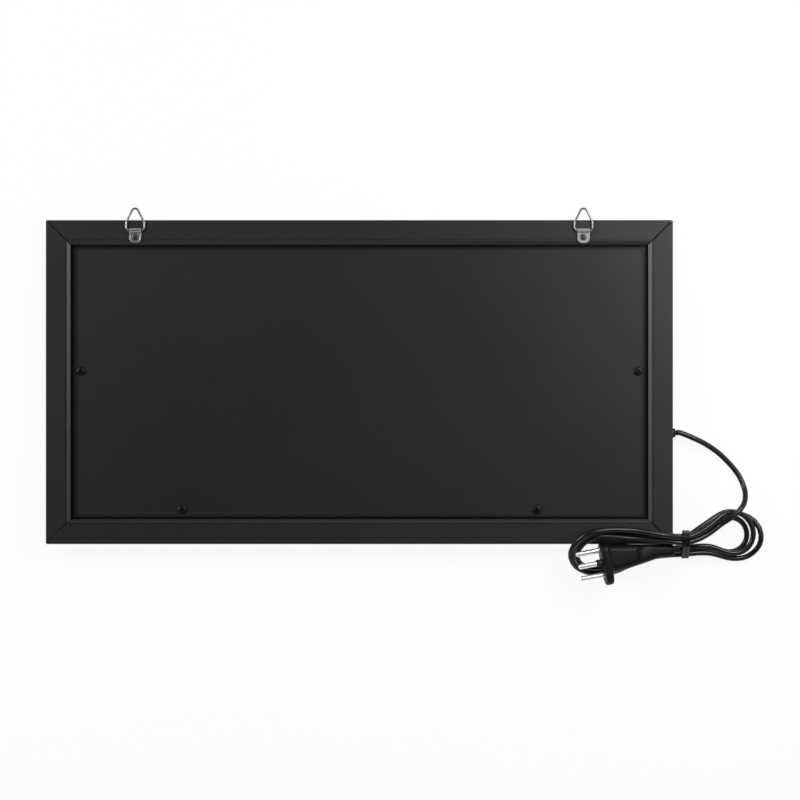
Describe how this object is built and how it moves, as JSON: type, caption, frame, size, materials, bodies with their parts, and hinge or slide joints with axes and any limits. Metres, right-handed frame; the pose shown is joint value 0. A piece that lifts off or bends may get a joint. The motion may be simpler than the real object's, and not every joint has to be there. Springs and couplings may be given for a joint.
{
  "type": "led light sign",
  "caption": "Flat rectangular lighted sign: mitred black rail frame, recessed back panel, swinging hanger rings for a wall, lamp face, and a mains lead tied in a hank with a round-pin plug.",
  "frame": {"origin": "middle of the sign's outline with its hanger rings, on the plane of the front lip", "axes": "+X along the sign to the side the lead leaves, +Y towards the top edge, +Z out of the back"},
  "size_m": [0.5506, 0.2891, 0.0385],
  "materials": {
    "frame": "black anodised, satin",
    "key_metal": "die cast",
    "face": "black sheet, semi gloss",
    "lamp_lens": "milky lens, unlit",
    "board": "green solder mask",
    "nylon": "natural",
    "steel": "zinc plated",
    "ferrite": "ferrite core with wound bobbin",
    "capacitor": "sleeved can",
    "terminal": "moulded",
    "wire": "insulated",
    "conductor": "insulated",
    "cord": "black PVC, semi gloss",
    "clamp": "moulded",
    "panel": "dark grey sheet, smooth matt",
    "black_screw": "black oxide",
    "nickel": "nickel plated, bright",
    "grommet": "moulded",
    "tie": "soft wire tie",
    "plug": "moulded PVC, satin",
    "pin_metal": "nickel plated"
  },
  "bodies": {
    "sign": {"top_rail": "frame", "bottom_rail": "frame", "left_rail": "frame", "right_rail": "frame", "corner_keys": "key_metal", "face_panel": "face", "led_lamps": "lamp_lens", "led_strips": "board", "driver_standoffs": "nylon", "driver_board": "board", "driver_screws": "steel", "driver_transformer": "ferrite", "driver_capacitors": "capacitor", "mains_terminal": "terminal", "lamp_terminal": "terminal", "lamp_wires": "wire", "mains_wires": "conductor", "inner_cord": "cord", "cord_clamp": "clamp", "clamp_screws": "steel", "back_panel": "panel", "panel_screws": "black_screw", "hanger_strap_left": "nickel", "hanger_strap_right": "nickel", "hanger_screws": "nickel", "cord_grommet": "grommet", "cord_lead": "cord", "cord_hank": "cord", "cord_tie": "tie", "plug_body": "plug", "plug_pins": "pin_metal", "pin_sleeve": "plug"},
    "left_ring": {"hanger_ring_left": "nickel"},
    "right_ring": {"hanger_ring_right": "nickel"}
  },
  "joints": [
    {"name": "left_ring_swing", "type": "hinge", "parent": "sign", "child": "left_ring", "pos_m": [-0.1715, 0.1112, 0.0217], "axis": [1, 0, 0], "range_deg": [0, 175]},
    {"name": "right_ring_swing", "type": "hinge", "parent": "sign", "child": "right_ring", "pos_m": [0.1715, 0.1112, 0.0217], "axis": [1, 0, 0], "range_deg": [0, 175]}
  ]
}
